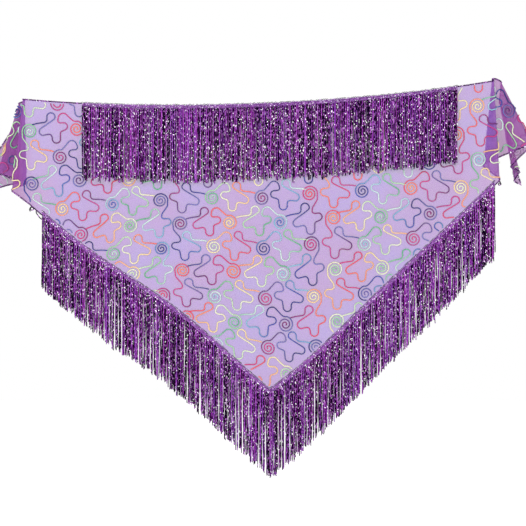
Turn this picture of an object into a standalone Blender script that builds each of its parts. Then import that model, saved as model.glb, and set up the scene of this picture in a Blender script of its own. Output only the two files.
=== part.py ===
"""Belly dance hip scarf: one triangle of sheer net held up at two pinched points of its long edge.

The flat cut is an isosceles triangle. A flat point is (along, down): metres from the left corner
along the long edge, and metres below that edge. Hung, the cloth between the two grips is a nearly
flat panel. Beyond each grip it hangs as a tail of folds that all run to one pinch, so that part is a
general cone whose flat angles and lengths are kept. A fringe is sewn on the face along the long edge
and along each lower edge. Metres, +Z up, the face towards -Y, the origin at the left grip.
"""

import math
import random
from collections import namedtuple

import bmesh
import bpy
import numpy as np

# The flat cut
CUT_WIDTH = 1.92
CUT_DEPTH = 0.75
WALL = 0.0010
LEFT_TAIL = 0.35
RIGHT_TAIL = 0.34
CORNER_CUT = 0.010

# How it is held
GRIP_SPAN = 1.219
GRIP_RISE = 0.048
EDGE_SAG = 0.039
FORWARD_BOW = 0.025
PINCH_HEIGHT = 0.036
LEFT_GATHER = 0.0
RIGHT_GATHER = 0.012
# Lift of the lower edge, as heights of one, two and more half waves from grip to grip
HEM_LIFTS = (0.0100, 0.0105, 0.0040, -0.0080, -0.0060)

# Fringes
FRINGE_LENGTH = 0.200
GROWTH_TO_POINT = 0.15
HEADING_DEPTH = 0.009
HEADING_THICK = 0.0022
SEAM_GAP = 0.0003
STRAND_CLEARANCE = 0.0024
LONG_FRINGE_START = 0.500
LONG_FRINGE_END = 1.483
LONG_FRINGE_LOCKS = 112
LOWER_FRINGE_START = 0.383
LOWER_FRINGE_END = 1.572
LOWER_FRINGE_LOCKS = 69
LOCK_SHARE = 0.70
LOCK_MID_WIDTH = 0.0052
LOCK_END_WIDTH = 0.0034
LOCK_END_THICK = 0.0014
LOCK_SHORTEST = 0.93
SWAY_MID = 0.0005
SWAY_END = 0.0012
CLOTH_SAMPLES = 8

# Mesh density
PANEL_ROWS = 15
PANEL_COLUMN_STEP = 0.031
TAIL_TURN_STEP = math.radians(38)
TAIL_EDGE_STEP = 0.036
TAIL_ARC_STEP = math.radians(9)
TURN_STEPS = 16
PATH_STEP = math.radians(0.25)
FINE_RAYS = 2000
UNLIFT_ROUNDS = 3

# A tail's folds, from the panel to the corner, seen as directions from the pinch in degrees: how far
# outward from straight down a fold's edge reaches, and how far to the back the layer after it lies.
TailFold = namedtuple("TailFold", "edge back")
LEFT_FOLDS = (
    TailFold(9.6, 4.5),
    TailFold(2.4, 9.3),
    TailFold(22.2, 14.4),
    TailFold(9.2, 19.0),
)
RIGHT_FOLDS = (
    TailFold(1.3, 2.6),
    TailFold(-7.0, 6.8),
    TailFold(27.4, 11.6),
    TailFold(10.8, 15.6),
    TailFold(15.8, 17.8),
    TailFold(12.4, 20.0),
)
LAST_LAYER = 60.0
RIPPLE = math.radians(0.9)
RIPPLE_LENGTH = math.radians(11)

# Soft folds of the panel, each a ridge (or with a negative height a trough) between two flat points.
PanelFold = namedtuple("PanelFold", "from_along from_down to_along to_down half_width height")
PANEL_FOLDS = (
    PanelFold(0.385, 0.020, 0.950, 0.210, 0.030, 0.0060),
    PanelFold(0.385, 0.040, 0.800, 0.500, 0.036, -0.0070),
    PanelFold(0.380, 0.050, 0.540, 0.400, 0.026, 0.0050),
    PanelFold(1.565, 0.020, 1.060, 0.240, 0.032, 0.0060),
    PanelFold(1.565, 0.040, 1.160, 0.520, 0.036, -0.0070),
    PanelFold(1.570, 0.050, 1.430, 0.380, 0.026, 0.0050),
    PanelFold(0.780, 0.280, 0.925, 0.760, 0.046, 0.0090),
    PanelFold(1.070, 0.340, 0.990, 0.780, 0.042, -0.0080),
    PanelFold(0.640, 0.180, 0.700, 0.520, 0.040, 0.0050),
    PanelFold(1.290, 0.200, 1.240, 0.520, 0.040, -0.0050),
)

# Worked out from the sizes above
HALF_WIDTH = CUT_WIDTH / 2
HEM_SLOPE = CUT_DEPTH / HALF_WIDTH
LEFT_GRIP = LEFT_TAIL
RIGHT_GRIP = CUT_WIDTH - RIGHT_TAIL
TILT = math.atan2(GRIP_RISE, GRIP_SPAN)
CHORD = math.hypot(GRIP_SPAN, GRIP_RISE)
ALONG_CHORD = np.array((math.cos(TILT), 0.0, math.sin(TILT)))
DOWN = np.array((math.sin(TILT), 0.0, -math.cos(TILT)))
BACK = np.array((0.0, 1.0, 0.0))


def hem_depth(along):
    """Flat depth of the lower edge below the long edge, at a distance from the left corner."""
    return HEM_SLOPE * min(along, CUT_WIDTH - along)


def edge_sag(share):
    """How far the long edge hangs below the straight line between the grips."""
    return 4 * EDGE_SAG * share * (1 - share)


def hem_lift(share):
    """How much higher than its flat cut the lower edge hangs, at a share of the way between the grips."""
    return sum(height * math.sin(math.pi * wave * share) for wave, height in enumerate(HEM_LIFTS, 1))


def panel_relief(along, down):
    """How far the panel stands towards the face at a flat point: the bow and the soft folds."""
    share = (along - LEFT_GRIP) / (RIGHT_GRIP - LEFT_GRIP)
    relief = FORWARD_BOW * math.sin(math.pi * share) ** 2
    for fold in PANEL_FOLDS:
        start = np.array((fold.from_along, fold.from_down))
        run = np.array((fold.to_along, fold.to_down)) - start
        offset = np.array((along, down)) - start
        reach = float(offset @ run) / float(run @ run)
        if 0 < reach < 1:
            aside = (run[0] * offset[1] - run[1] * offset[0]) / float(np.linalg.norm(run))
            across = math.exp(-((aside / fold.half_width) ** 2))
            relief += fold.height * math.sin(math.pi * reach) ** 2 * across
    return relief


def panel_point(along, down):
    """Where a flat point between the two grips hangs."""
    share = (along - LEFT_GRIP) / (RIGHT_GRIP - LEFT_GRIP)
    drop = edge_sag(share) + down - hem_lift(share) * (down / hem_depth(along)) ** 2
    hung = ALONG_CHORD * CHORD * share + DOWN * drop
    return hung - BACK * panel_relief(along, down)


def fold_path(folds):
    """Directions that a tail's cloth runs through, as radians outward and back: layers and half turns."""
    corners = [(0.0, 0.0)]
    layer_back = 0.0
    heading = 1
    for fold in folds:
        radius = (fold.back - layer_back) / 2
        for turn in np.linspace(0, math.pi, TURN_STEPS):
            inset = heading * radius * (1 - math.sin(turn))
            corners.append((fold.edge - inset, layer_back + radius * (1 - math.cos(turn))))
        layer_back = fold.back
        heading = -heading
    corners.append((corners[-1][0] + heading * LAST_LAYER, layer_back))
    corners = np.radians(corners)
    run = np.concatenate(((0,), np.cumsum(np.linalg.norm(np.diff(corners, axis=0), axis=1))))
    fine = np.arange(0, run[-1], PATH_STEP)
    outward = np.interp(fine, run, corners[:, 0])
    ripple = RIPPLE * (1 - np.cos(2 * math.pi * outward / RIPPLE_LENGTH)) / 2
    return np.stack((outward, np.interp(fine, run, corners[:, 1]) + ripple), axis=1)


class Tail:
    """The folded cloth beyond one grip, as a cone of directions from a pinch just above the edge.

    A ray is a line of the flat cloth through the pinch, named by its flat angle from the grip's own ray.
    """

    def __init__(self, grip_along, outward_sign, length, gather, folds):
        self.length = length
        self.gather = gather
        self.pinch = panel_point(grip_along, 0) - DOWN * PINCH_HEIGHT
        self.outward = ALONG_CHORD * outward_sign
        self.path = fold_path(folds)
        steps = np.diff(self.path, axis=0)
        middle_back = (self.path[1:, 1] + self.path[:-1, 1]) / 2
        arcs = np.hypot(steps[:, 0] * np.cos(middle_back), steps[:, 1])
        self.turned = np.concatenate(((0,), np.cumsum(arcs)))
        heading = np.unwrap(np.arctan2(steps[:, 1], steps[:, 0]))
        self.bend = np.concatenate(((0,), np.cumsum(np.abs(np.diff(heading, prepend=heading[0])))))

    def last_ray(self):
        """The flat angle of the ray that meets the long edge just short of the corner."""
        return math.atan2(self.length - CORNER_CUT, PINCH_HEIGHT)

    def rays(self):
        """Flat angles from the grip's own ray to the corner's, closer together where the cloth turns."""
        fine = np.linspace(0, self.last_ray(), FINE_RAYS)
        bend = np.interp(fine, self.turned, self.bend)
        edge = PINCH_HEIGHT * np.tan(fine)
        measure = bend / TAIL_TURN_STEP + edge / TAIL_EDGE_STEP + fine / TAIL_ARC_STEP
        return np.interp(np.linspace(0, measure[-1], math.ceil(measure[-1]) + 1), measure, fine)

    def reach(self, ray):
        """Distances from the pinch, once gathered in, at which a ray meets the long and the lower edge."""
        drawn_in = self.gather * math.sin(math.pi * ray / self.last_ray())
        to_edge = PINCH_HEIGHT / math.cos(ray)
        to_hem = (PINCH_HEIGHT + HEM_SLOPE * self.length) / (math.cos(ray) + HEM_SLOPE * math.sin(ray))
        return to_edge - drawn_in, to_hem - drawn_in

    def point(self, ray, distance):
        """Where the cloth at a flat angle and distance from the pinch hangs."""
        outward = np.interp(ray, self.turned, self.path[:, 0])
        back = np.interp(ray, self.turned, self.path[:, 1])
        level = self.outward * math.sin(outward) + DOWN * math.cos(outward)
        return self.pinch + distance * (level * math.cos(back) + BACK * math.sin(back))

    def column(self, ray):
        """One ray's points, from the long edge to the lower edge."""
        near, far = self.reach(ray)
        return [self.point(ray, near + (far - near) * share) for share in row_shares()]


def row_shares():
    """Shares of the way from the long edge to the lower edge, one for each row."""
    return np.linspace(0, 1, PANEL_ROWS)


class Panel:
    """The hung net as a grid of columns, each running from the long edge to the lower edge."""

    def __init__(self):
        left = Tail(LEFT_GRIP, -1, LEFT_TAIL, LEFT_GATHER, LEFT_FOLDS)
        right = Tail(RIGHT_GRIP, 1, RIGHT_TAIL, RIGHT_GATHER, RIGHT_FOLDS)
        left_columns = math.ceil((HALF_WIDTH - LEFT_GRIP) / PANEL_COLUMN_STEP)
        right_columns = math.ceil((RIGHT_GRIP - HALF_WIDTH) / PANEL_COLUMN_STEP)
        left_along = np.linspace(LEFT_GRIP, HALF_WIDTH, left_columns + 1)
        right_along = np.linspace(HALF_WIDTH, RIGHT_GRIP, right_columns + 1)
        self.along = np.concatenate((left_along, right_along[1:]))
        left_rays = left.rays()[:0:-1]
        self.columns = [left.column(ray) for ray in left_rays]
        self.first = len(self.columns)
        for along in self.along:
            self.columns.append([panel_point(along, hem_depth(along) * share) for share in row_shares()])
        self.columns += [right.column(ray) for ray in right.rays()[1:]]
        self.grid = np.array(self.columns)
        across = np.gradient(self.grid, axis=0)
        downward = np.gradient(self.grid, axis=1)
        normals = np.cross(across, downward)
        self.normals = -normals / np.linalg.norm(normals, axis=2, keepdims=True)

    def moved_out(self, along, down, distance):
        """A flat point of the panel, moved from the middle of the wall towards the face."""
        column = min(max(int(np.searchsorted(self.along, along)) - 1, 0), len(self.along) - 2)
        sideways = (along - self.along[column]) / (self.along[column + 1] - self.along[column])
        row_place = min(max(down / hem_depth(along), 0), 1) * (PANEL_ROWS - 1)
        row = min(int(row_place), PANEL_ROWS - 2)
        lower = row_place - row
        cell = np.s_[self.first + column : self.first + column + 2, row : row + 2]
        weights = np.outer((1 - sideways, sideways), (1 - lower, lower))[:, :, None]
        normal = (self.normals[cell] * weights).sum(axis=(0, 1))
        return (self.grid[cell] * weights).sum(axis=(0, 1)) + distance * normal / np.linalg.norm(normal)


def flat_of(x, z):
    """The flat point of the panel that hangs at a place seen from the front."""
    share = (x * ALONG_CHORD[0] + z * ALONG_CHORD[2]) / CHORD
    along = LEFT_GRIP + share * (RIGHT_GRIP - LEFT_GRIP)
    unlifted = x * DOWN[0] + z * DOWN[2] - edge_sag(share)
    down = unlifted
    for _ in range(UNLIFT_ROUNDS):
        down = unlifted + hem_lift(share) * (down / hem_depth(along)) ** 2
    return along, down


def material(name, color, roughness, metallic, alpha=1.0):
    """A plain Principled BSDF material."""
    made = bpy.data.materials.new(name)
    made.use_nodes = True
    shader = made.node_tree.nodes["Principled BSDF"]
    shader.inputs["Base Color"].default_value = (*color, 1.0)
    shader.inputs["Roughness"].default_value = roughness
    shader.inputs["Metallic"].default_value = metallic
    shader.inputs["Alpha"].default_value = alpha
    made.diffuse_color = (*color, alpha)
    return made


def place(name, mesh, finish):
    """Links a mesh as a named object with its material."""
    mesh.materials.append(finish)
    made = bpy.data.objects.new(name, mesh)
    bpy.context.scene.collection.objects.link(made)
    return made


def build_panel(panel, finish):
    """The net: the middle of its wall as a grid, given its thickness by Solidify."""
    columns, rows = panel.grid.shape[:2]
    faces = [
        (c * rows + r, c * rows + r + 1, (c + 1) * rows + r + 1, (c + 1) * rows + r)
        for c in range(columns - 1)
        for r in range(rows - 1)
    ]
    mesh = bpy.data.meshes.new("net_panel")
    mesh.from_pydata(panel.grid.reshape(-1, 3).tolist(), [], faces)
    mesh.shade_smooth()
    made = place("net_panel", mesh, finish)
    wall = made.modifiers.new("wall", "SOLIDIFY")
    wall.thickness = WALL
    wall.offset = 0
    wall.use_even_offset = False
    return made


class Fringe:
    """A heading sewn on the face of the panel, with locks that hang from its lower side."""

    def __init__(self, panel, name, start, end, locks, on_cloth, seed):
        self.panel = panel
        self.name = name
        self.start = start
        self.end = end
        self.locks = locks
        self.on_cloth = on_cloth
        self.chance = random.Random(seed)

    def heading_depths(self, along):
        """Flat depths of the heading's upper and lower sides."""
        if self.on_cloth:
            return 0.0, HEADING_DEPTH
        upright = HEADING_DEPTH * math.hypot(1, HEM_SLOPE)
        return hem_depth(along) - upright, hem_depth(along)

    def stations(self):
        """Places along the edge where a lock starts or ends."""
        pitch = (self.end - self.start) / self.locks
        margin = pitch * (1 - LOCK_SHARE) / 2
        roots = self.start + pitch * np.arange(self.locks)[:, None] + (margin, pitch - margin)
        return [self.start, *roots.ravel(), self.end]

    def section(self, along):
        """The heading's four corners at a station: upper back, upper face, lower face and lower back."""
        near = WALL / 2 + SEAM_GAP
        far = near + HEADING_THICK
        upper, lower = self.heading_depths(along)
        spots = ((upper, near), (upper, far), (lower, far), (lower, near))
        return [self.panel.moved_out(along, down, out) for down, out in spots]

    def cloth_front(self, x, z):
        """How far a lock's back must stand towards the face to clear the cloth behind it."""
        along, down = flat_of(x, z)
        return -self.panel.moved_out(along, down, WALL / 2 + STRAND_CLEARANCE)[1]

    def hanging_front(self, x, width, z_above, front_above, z_below):
        """How far forward a lock's back stands lower down: plumb, unless the cloth pushes it out."""
        front = front_above
        if self.on_cloth:
            for share in np.linspace(0, 1, CLOTH_SAMPLES + 1)[1:]:
                z = z_above + (z_below - z_above) * share
                cloth = max(self.cloth_front(x - width / 2, z), self.cloth_front(x + width / 2, z))
                front = max(front, front_above + (cloth - front_above) / share)
        return front

    def length_at(self, along):
        """How far the locks hang below the heading: the lower fringes' grow towards the point."""
        if self.on_cloth:
            return FRINGE_LENGTH - HEADING_DEPTH
        upper, lower = self.heading_depths(along)
        closeness = 1 - abs(along - HALF_WIDTH) / (HALF_WIDTH - LOWER_FRINGE_START)
        return FRINGE_LENGTH * (1 + GROWTH_TO_POINT * closeness) - (lower - upper)

    def hang_lock(self, mesh, face, along):
        """Draws one lock down from its root face on the heading, in two lengths."""
        corners = np.array([vert.co for vert in face.verts])
        x, _, top = corners.mean(axis=0)
        width = float(np.ptp(corners[:, 0]))
        front = -float(corners[:, 1].max())
        length = self.length_at(along) * self.chance.uniform(LOCK_SHORTEST, 1)
        lean = self.chance.uniform(-1, 1)
        z_above = top
        lengths = (
            (0.5, SWAY_MID, LOCK_MID_WIDTH, HEADING_THICK),
            (1.0, SWAY_END, LOCK_END_WIDTH, LOCK_END_THICK),
        )
        middle_y = float(corners[:, 1].mean())
        for share, sway, next_width, thick in lengths:
            sides = [(1 if vert.co.x > x else -1, vert.co.y > middle_y) for vert in face.verts]
            face = bmesh.ops.extrude_discrete_faces(mesh, faces=[face])["faces"][0]
            z_below = top - length * share
            front = self.hanging_front(x + lean * sway, width, z_above, front, z_below)
            x, width, z_above = x + lean * sway, next_width, z_below
            for vert, (side, at_back) in zip(face.verts, sides):
                vert.co = (x + side * width / 2, -front if at_back else -front - thick, z_below)
            middle_y = -front - thick / 2

    def build(self, finish):
        """The heading strip and its locks as one mesh."""
        mesh = bmesh.new()
        stations = self.stations()
        rings = [[mesh.verts.new(corner) for corner in self.section(along)] for along in stations]
        roots = []
        for number, (left, right) in enumerate(zip(rings, rings[1:])):
            for k in range(4):
                after = (k + 1) % 4
                side = mesh.faces.new((left[k], left[after], right[after], right[k]))
                if k == 2 and number % 2:
                    roots.append((side, stations[number]))
        mesh.faces.new(reversed(rings[0]))
        mesh.faces.new(rings[-1])
        for root, along in roots:
            self.hang_lock(mesh, root, along)
        bmesh.ops.recalc_face_normals(mesh, faces=mesh.faces)
        data = bpy.data.meshes.new(self.name)
        mesh.to_mesh(data)
        mesh.free()
        return place(self.name, data, finish)


def main():
    for obj in list(bpy.data.objects):
        bpy.data.objects.remove(obj)
    net = material("sheer_net", (0.42, 0.28, 0.52), 0.7, 0.0, alpha=0.5)
    lurex = material("metallic_fringe", (0.16, 0.03, 0.22), 0.35, 0.5)
    panel = Panel()
    build_panel(panel, net)
    left_end = HALF_WIDTH - SEAM_GAP / 2
    right_start = HALF_WIDTH + SEAM_GAP / 2
    lower_locks = LOWER_FRINGE_LOCKS
    fringes = (
        Fringe(panel, "fringe_long_edge", LONG_FRINGE_START, LONG_FRINGE_END, LONG_FRINGE_LOCKS, True, 3),
        Fringe(panel, "fringe_left_edge", LOWER_FRINGE_START, left_end, lower_locks, False, 5),
        Fringe(panel, "fringe_right_edge", right_start, LOWER_FRINGE_END, lower_locks, False, 7),
    )
    for fringe in fringes:
        fringe.build(lurex)


main()
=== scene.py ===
"""Belly dance hip scarf: the looks of one triangle of embroidered net and its three fringes.

A flat point is (along, down): metres from the cut's left corner along the long edge, and metres below
that edge. HungCloth says where each flat point hangs, and every thread, braid and hem follows it.
Metres, +Z up, the face towards -Y, the origin at the left grip.
"""

import logging
import math
from collections.abc import Mapping, Sequence
from dataclasses import dataclass, field
from enum import Enum

import bpy
import numpy as np
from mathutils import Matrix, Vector


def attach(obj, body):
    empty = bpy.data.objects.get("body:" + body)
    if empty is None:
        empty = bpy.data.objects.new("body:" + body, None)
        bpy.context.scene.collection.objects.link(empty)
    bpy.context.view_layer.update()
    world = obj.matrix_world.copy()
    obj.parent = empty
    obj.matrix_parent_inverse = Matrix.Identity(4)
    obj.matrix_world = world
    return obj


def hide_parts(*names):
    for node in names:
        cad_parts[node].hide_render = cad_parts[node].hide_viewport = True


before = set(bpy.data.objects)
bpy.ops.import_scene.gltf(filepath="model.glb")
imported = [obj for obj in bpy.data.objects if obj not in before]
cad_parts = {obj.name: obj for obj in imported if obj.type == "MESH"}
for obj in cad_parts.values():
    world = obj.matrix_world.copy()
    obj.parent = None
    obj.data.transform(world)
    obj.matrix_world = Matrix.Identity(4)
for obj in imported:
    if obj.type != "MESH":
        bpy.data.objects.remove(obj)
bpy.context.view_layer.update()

Array = np.ndarray
Color = tuple[float, float, float]
Place = tuple[float, float, float]
Inputs = Mapping[str | int, object]

LOG = logging.getLogger("hip_scarf")
BODY = "root"
RUN = "run"
MARK = "mark"
GIRTH = "girth"
FLAT_UV = "flat_metres"
FLOAT = "NodeSocketFloat"
INTEGER = "NodeSocketInt"
VECTOR = "NodeSocketVector"
GEOMETRY = "NodeSocketGeometry"
MATERIAL = "NodeSocketMaterial"
MILLIMETRE = 0.001
BACK = np.array((0.0, 1.0, 0.0))
WHITE = (1.0, 1.0, 1.0)
BLACK = (0.0, 0.0, 0.0)
BOBBIN_COLORS = ((0.50, 0.36, 0.62), (0.62, 0.50, 0.72), (0.42, 0.28, 0.55))


class Edge(Enum):
    """An edge of the triangle that carries a fringe."""

    LONG = "long"
    LEFT = "left"
    RIGHT = "right"


# Where each heading starts and ends along the long edge, and the seed of its fringe
HEADING_SPANS = {
    Edge.LONG: (0.500, 1.483),
    Edge.LEFT: (0.383, 0.961),
    Edge.RIGHT: (0.959, 1.572),
}
FRINGE_SEEDS = {Edge.LONG: 11, Edge.LEFT: 23, Edge.RIGHT: 37}


# ---------------------------------------------------------------------------------------------
# The hung cloth
# ---------------------------------------------------------------------------------------------


@dataclass(frozen=True)
class TailFold:
    """One fold of a tail, as directions from the pinch in degrees.

    edge is how far outward from straight down the fold reaches, and back how far to the back the
    layer after it lies.
    """

    edge: float
    back: float


@dataclass(frozen=True)
class PanelFold:
    """A soft ridge of the panel between two flat points, or with a negative height a trough."""

    start: tuple[float, float]
    end: tuple[float, float]
    half_width: float
    height: float

    def relief(self, flat: Array) -> Array:
        """How far the fold stands towards the face.

        Args:
            flat: Flat points, one (along, down) a row.

        Returns:
            One height for each point.
        """
        run = np.subtract(self.end, self.start)
        offset = flat - self.start
        reach = offset @ run / (run @ run)
        aside = (run[0] * offset[:, 1] - run[1] * offset[:, 0]) / np.linalg.norm(run)
        profile = np.sin(math.pi * reach) ** 2 * np.exp(-((aside / self.half_width) ** 2))
        return np.where((reach > 0) & (reach < 1), self.height * profile, 0.0)


@dataclass(frozen=True)
class Tail:
    """The folded cloth beyond one grip, a general cone of rays that run from a pinch."""

    pinch: Array
    outward: Array
    down: Array
    pinch_height: float
    length: float
    gather: float
    folds: Sequence[TailFold]
    corner_cut: float = 0.010
    last_layer: float = 60.0
    ripple: float = math.radians(0.9)
    ripple_length: float = math.radians(11)
    turn_steps: int = 16
    path_step: float = math.radians(0.25)

    def last_ray(self) -> float:
        """The flat angle of the ray that meets the long edge just short of the corner."""
        return math.atan2(self.length - self.corner_cut, self.pinch_height)

    def path(self) -> tuple[Array, Array]:
        """The directions that the cloth runs through, layer after layer.

        Returns:
            Directions as (outward, back) radians, and the flat angle turned at each.
        """
        corners = [(0.0, 0.0)]
        layer_back = 0.0
        heading = 1
        for fold in self.folds:
            radius = (fold.back - layer_back) / 2
            for turn in np.linspace(0, math.pi, self.turn_steps):
                inset = heading * radius * (1 - math.sin(turn))
                corners.append((fold.edge - inset, layer_back + radius * (1 - math.cos(turn))))
            layer_back = fold.back
            heading = -heading
        corners.append((corners[-1][0] + heading * self.last_layer, layer_back))
        angles = np.radians(corners)
        run = np.concatenate(((0,), np.cumsum(np.linalg.norm(np.diff(angles, axis=0), axis=1))))
        fine = np.arange(0, run[-1], self.path_step)
        outward = np.interp(fine, run, angles[:, 0])
        ripple = self.ripple * (1 - np.cos(2 * math.pi * outward / self.ripple_length)) / 2
        back = np.interp(fine, run, angles[:, 1]) + ripple
        arcs = np.hypot(np.diff(outward) * np.cos((back[1:] + back[:-1]) / 2), np.diff(back))
        return np.stack((outward, back), axis=1), np.concatenate(((0,), np.cumsum(arcs)))

    def hang(self, beyond: Array, down: Array) -> Array:
        """Where flat points beyond the grip hang.

        Args:
            beyond: Flat distances beyond the grip, along the long edge.
            down: Flat distances below the long edge.

        Returns:
            One point a row.
        """
        path, turned = self.path()
        ray = np.arctan2(beyond, down + self.pinch_height)
        gathered = self.gather * np.sin(math.pi * ray / self.last_ray())
        distance = (np.hypot(beyond, down + self.pinch_height) - gathered)[:, None]
        outward = np.interp(ray, turned, path[:, 0])[:, None]
        back = np.interp(ray, turned, path[:, 1])[:, None]
        level = self.outward * np.sin(outward) + self.down * np.cos(outward)
        return self.pinch + distance * (level * np.cos(back) + BACK * np.sin(back))

    def rays(self, turn_step: float, edge_step: float, arc_step: float, fine_rays: int = 4000) -> Array:
        """Flat angles of the grid's columns, closer together where the cloth turns.

        Args:
            turn_step: The most that the cloth turns between two columns, in radians.
            edge_step: The most that two columns stand apart along the long edge.
            arc_step: The most that two columns' rays part, in radians.
            fine_rays: How many rays the columns are picked from.

        Returns:
            Angles from just after the grip's own ray to the corner's.
        """
        path, turned = self.path()
        steps = np.diff(path, axis=0)
        heading = np.unwrap(np.arctan2(steps[:, 1], steps[:, 0]))
        bend = np.concatenate(((0,), np.cumsum(np.abs(np.diff(heading, prepend=heading[0])))))
        fine = np.linspace(0, self.last_ray(), fine_rays)
        edge = self.pinch_height * np.tan(fine)
        measure = np.interp(fine, turned, bend) / turn_step + edge / edge_step + fine / arc_step
        return np.interp(np.linspace(0, measure[-1], math.ceil(measure[-1]) + 1), measure, fine)[1:]


@dataclass(frozen=True)
class HungCloth:
    """The flat cut and how it hangs: a panel between the two grips, and a tail beyond each."""

    width: float = 1.92
    depth: float = 0.75
    left_tail: float = 0.35
    right_tail: float = 0.34
    grip_span: float = 1.219
    grip_rise: float = 0.048
    edge_sag: float = 0.039
    forward_bow: float = 0.025
    pinch_height: float = 0.036
    left_gather: float = 0.0
    right_gather: float = 0.012
    wall: float = 0.0010
    normal_step: float = 0.0015
    unlift_rounds: int = 3
    hem_lifts: tuple[float, ...] = (0.0100, 0.0105, 0.0040, -0.0080, -0.0060)
    left_folds: tuple[TailFold, ...] = (
        TailFold(9.6, 4.5),
        TailFold(2.4, 9.3),
        TailFold(22.2, 14.4),
        TailFold(9.2, 19.0),
    )
    right_folds: tuple[TailFold, ...] = (
        TailFold(1.3, 2.6),
        TailFold(-7.0, 6.8),
        TailFold(27.4, 11.6),
        TailFold(10.8, 15.6),
        TailFold(15.8, 17.8),
        TailFold(12.4, 20.0),
    )
    panel_folds: tuple[PanelFold, ...] = (
        PanelFold((0.385, 0.020), (0.950, 0.210), 0.030, 0.0060),
        PanelFold((0.385, 0.040), (0.800, 0.500), 0.036, -0.0070),
        PanelFold((0.380, 0.050), (0.540, 0.400), 0.026, 0.0050),
        PanelFold((1.565, 0.020), (1.060, 0.240), 0.032, 0.0060),
        PanelFold((1.565, 0.040), (1.160, 0.520), 0.036, -0.0070),
        PanelFold((1.570, 0.050), (1.430, 0.380), 0.026, 0.0050),
        PanelFold((0.780, 0.280), (0.925, 0.760), 0.046, 0.0090),
        PanelFold((1.070, 0.340), (0.990, 0.780), 0.042, -0.0080),
        PanelFold((0.640, 0.180), (0.700, 0.520), 0.040, 0.0050),
        PanelFold((1.290, 0.200), (1.240, 0.520), 0.040, -0.0050),
    )

    @property
    def hem_slope(self) -> float:
        """How much deeper the lower edge lies for each metre along the long edge."""
        return self.depth / (self.width / 2)

    @property
    def right_grip(self) -> float:
        """Distance along the long edge of the right grip. The left one's is left_tail."""
        return self.width - self.right_tail

    @property
    def along_chord(self) -> Array:
        """The direction from the left grip to the right one."""
        tilt = math.atan2(self.grip_rise, self.grip_span)
        return np.array((math.cos(tilt), 0.0, math.sin(tilt)))

    @property
    def down_chord(self) -> Array:
        """The direction square to the line between the grips, downwards."""
        return np.array((self.along_chord[2], 0.0, -self.along_chord[0]))

    def hem_depth(self, along: Array) -> Array:
        """Flat depth of the lower edge below the long edge."""
        return self.hem_slope * np.minimum(along, self.width - along)

    def sag(self, share: Array) -> Array:
        """How far the long edge hangs below the straight line between the grips."""
        return 4 * self.edge_sag * share * (1 - share)

    def hem_lift(self, share: Array) -> Array:
        """How much higher than its flat cut the lower edge hangs."""
        waves = enumerate(self.hem_lifts, 1)
        return sum(height * np.sin(math.pi * wave * share) for wave, height in waves)

    def panel_points(self, along: Array, down: Array) -> Array:
        """Where flat points between the grips hang.

        Args:
            along: Distances along the long edge.
            down: Distances below it.

        Returns:
            One point a row.
        """
        share = (along - self.left_tail) / (self.right_grip - self.left_tail)
        lift = self.hem_lift(share) * (down / self.hem_depth(along)) ** 2
        drop = self.sag(share) + down - lift
        flat = np.stack((along, down), axis=1)
        relief = self.forward_bow * np.sin(math.pi * share) ** 2
        relief = relief + sum(fold.relief(flat) for fold in self.panel_folds)
        across = math.hypot(self.grip_span, self.grip_rise) * share[:, None] * self.along_chord
        return across + drop[:, None] * self.down_chord - relief[:, None] * BACK

    def tail(self, grip_along: float, outward_sign: int) -> Tail:
        """The tail beyond a grip.

        Args:
            grip_along: Distance along the long edge of the grip.
            outward_sign: -1 for the left tail and 1 for the right one.

        Returns:
            The tail with its pinch just above the grip.
        """
        grip = self.panel_points(np.array((grip_along,)), np.zeros(1))[0]
        at_left = outward_sign < 0
        return Tail(
            pinch=grip - self.down_chord * self.pinch_height,
            outward=self.along_chord * outward_sign,
            down=self.down_chord,
            pinch_height=self.pinch_height,
            length=self.left_tail if at_left else self.right_tail,
            gather=self.left_gather if at_left else self.right_gather,
            folds=self.left_folds if at_left else self.right_folds,
        )

    @property
    def left(self) -> Tail:
        """The left tail."""
        return self.tail(self.left_tail, -1)

    @property
    def right(self) -> Tail:
        """The right tail."""
        return self.tail(self.right_grip, 1)

    def hang(self, along: Array, down: Array) -> Array:
        """Where flat points hang, on the middle of the cloth's wall.

        Args:
            along: Distances along the long edge.
            down: Distances below it.

        Returns:
            One point a row.
        """
        along, down = np.broadcast_arrays(np.asarray(along, float), np.asarray(down, float))
        inside = np.clip(along, self.left_tail, self.right_grip)
        hung = self.panel_points(inside, down)
        at_left = along < self.left_tail
        at_right = along > self.right_grip
        if at_left.any():
            beyond = self.left_tail - along[at_left]
            hung[at_left] = self.left.hang(beyond, down[at_left])
        if at_right.any():
            beyond = along[at_right] - self.right_grip
            hung[at_right] = self.right.hang(beyond, down[at_right])
        return hung

    def normals(self, along: Array, down: Array) -> Array:
        """Directions square to the hung cloth, out of its face.

        Args:
            along: Distances along the long edge.
            down: Distances below it.

        Returns:
            One unit direction a row.
        """
        step = self.normal_step
        across = self.hang(along + step, down) - self.hang(along - step, down)
        downward = self.hang(along, down + step) - self.hang(along, down - step)
        normal = np.cross(downward, across)
        return normal / np.linalg.norm(normal, axis=1, keepdims=True)

    def moved_out(self, along: Array, down: Array, out: Array | float) -> Array:
        """Flat points hung, then moved out of the face by a distance."""
        along, down, out = np.broadcast_arrays(along, down, out)
        return self.hang(along, down) + self.normals(along, down) * out[:, None]

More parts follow.
